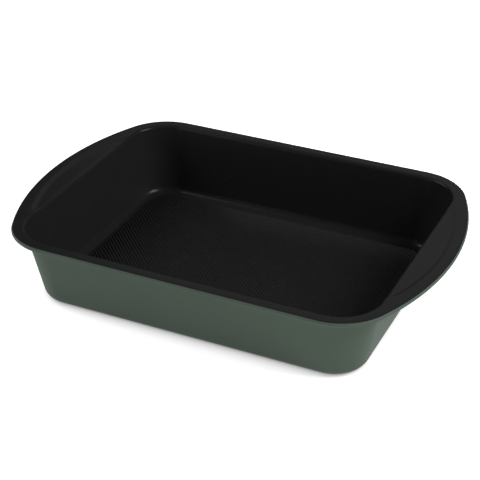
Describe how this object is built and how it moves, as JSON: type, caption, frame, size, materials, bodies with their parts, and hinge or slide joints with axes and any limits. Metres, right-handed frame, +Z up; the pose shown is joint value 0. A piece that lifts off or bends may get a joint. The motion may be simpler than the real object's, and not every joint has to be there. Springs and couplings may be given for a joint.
{
  "type": "roasting pan",
  "caption": "Rectangular roasting pan with drafted walls, a rolled wired rim and bowed end grips, black non-stick inside and green outside.",
  "frame": {"origin": "middle of the underside, on the surface that the pan stands on", "axes": "+X along the pan through both grips, +Y across it, +Z up out of the mouth"},
  "size_m": [0.382, 0.27, 0.0665],
  "materials": {
    "sheet_steel": "cold-rolled carbon steel, hidden under both coats",
    "black_nonstick": "satin black non-stick",
    "green_coat": "satin grey-green coat",
    "wire_steel": "drawn steel wire, hidden in the rolled rim"
  },
  "bodies": {
    "root": {"pan_pressing": "sheet_steel", "nonstick_lining": "black_nonstick", "outer_coating": "green_coat", "rim_wire": "wire_steel"}
  },
  "joints": []
}
